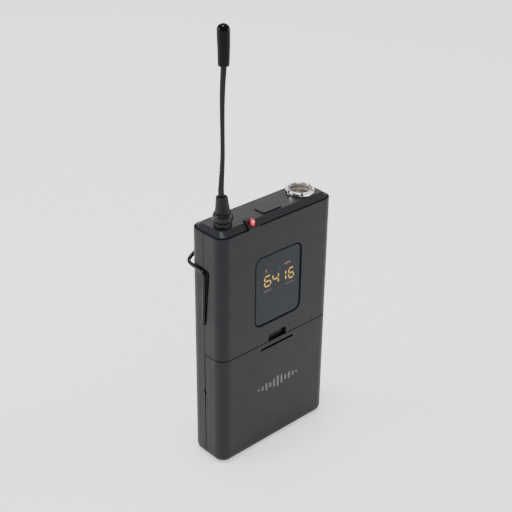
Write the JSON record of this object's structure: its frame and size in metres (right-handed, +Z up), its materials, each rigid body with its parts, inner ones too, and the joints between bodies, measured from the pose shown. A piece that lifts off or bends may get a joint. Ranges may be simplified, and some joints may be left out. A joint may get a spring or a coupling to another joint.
{
  "type": "wireless bodypack transmitter",
  "caption": "Belt-worn wireless transmitter of a lavalier microphone: black case, display, hinged battery door, wire clip, whip antenna.",
  "frame": {"origin": "middle of the flat underside of the case, where it stands", "axes": "+X across the front to the right as seen from the front, +Y from front to back, +Z up"},
  "size_m": [0.066, 0.0231, 0.1963],
  "materials": {
    "case": "fine textured black plastic",
    "cap": "satin black plastic",
    "lens": "smoked polished window",
    "display": "display housing",
    "led": "red lens",
    "steel": "plated steel",
    "chrome": "bright nickel",
    "brass": "gold plated",
    "insert": "moulded insulator",
    "antenna_hard": "satin black",
    "antenna_rubber": "black flexible sleeve",
    "antenna_gloss": "glossy black moulded tip",
    "wire": "black coated spring wire",
    "board": "green solder mask",
    "cell": "dark plain cell sleeve"
  },
  "bodies": {
    "case": {"back_shell": "case", "front_shell": "case", "top_cap": "cap", "display_lens": "lens", "display_module": "display", "status_led": "led", "tact_switch": "steel", "antenna_base": "antenna_hard", "antenna_collar": "antenna_hard", "antenna_stud": "steel", "connector_nut": "chrome", "connector_shell": "chrome", "connector_insert": "insert", "connector_pins": "brass", "main_board": "board", "rf_shield": "steel", "battery_tray": "cap", "cell_left": "cell", "cell_right": "cell", "contact_springs": "steel", "contact_plates": "steel", "case_screws": "steel"},
    "door": {"battery_door": "case", "hinge_pin": "steel"},
    "latch": {"door_latch": "cap"},
    "button": {"power_button": "cap", "switch_plunger": "cap"},
    "antenna_foot": {"antenna_boot": "antenna_rubber"},
    "antenna": {"antenna_whip": "antenna_rubber", "antenna_tip": "antenna_gloss"},
    "clip": {"belt_clip": "wire"}
  },
  "joints": [
    {"name": "battery_door_hinge", "type": "hinge", "parent": "case", "child": "door", "pos_m": [0, 0.002, 0.0012], "axis": [1, 0, 0], "range_deg": [0, 90]},
    {"name": "door_latch_slide", "type": "slide", "parent": "door", "child": "latch", "axis": [0, 0, -1], "range_m": [0, 0.0008], "stiffness_N_per_m": 800},
    {"name": "power_button_press", "type": "slide", "parent": "case", "child": "button", "axis": [0, 0, -1], "range_m": [0, 0.0004], "stiffness_N_per_m": 1500},
    {"name": "antenna_side_flex", "type": "hinge", "parent": "case", "child": "antenna_foot", "pos_m": [-0.0243, -0.0022, 0.1196], "axis": [0, 1, 0], "range_deg": [-12, 12], "stiffness_Nm_per_rad": 0.05},
    {"name": "antenna_fore_aft_flex", "type": "hinge", "parent": "antenna_foot", "child": "antenna", "pos_m": [-0.0243, -0.0022, 0.1257], "axis": [1, 0, 0], "range_deg": [-25, 25], "stiffness_Nm_per_rad": 0.03},
    {"name": "belt_clip_pivot", "type": "hinge", "parent": "case", "child": "clip", "pos_m": [0, 0.0009, 0.0698], "axis": [1, 0, 0], "range_deg": [0, 2], "stiffness_Nm_per_rad": 4}
  ]
}
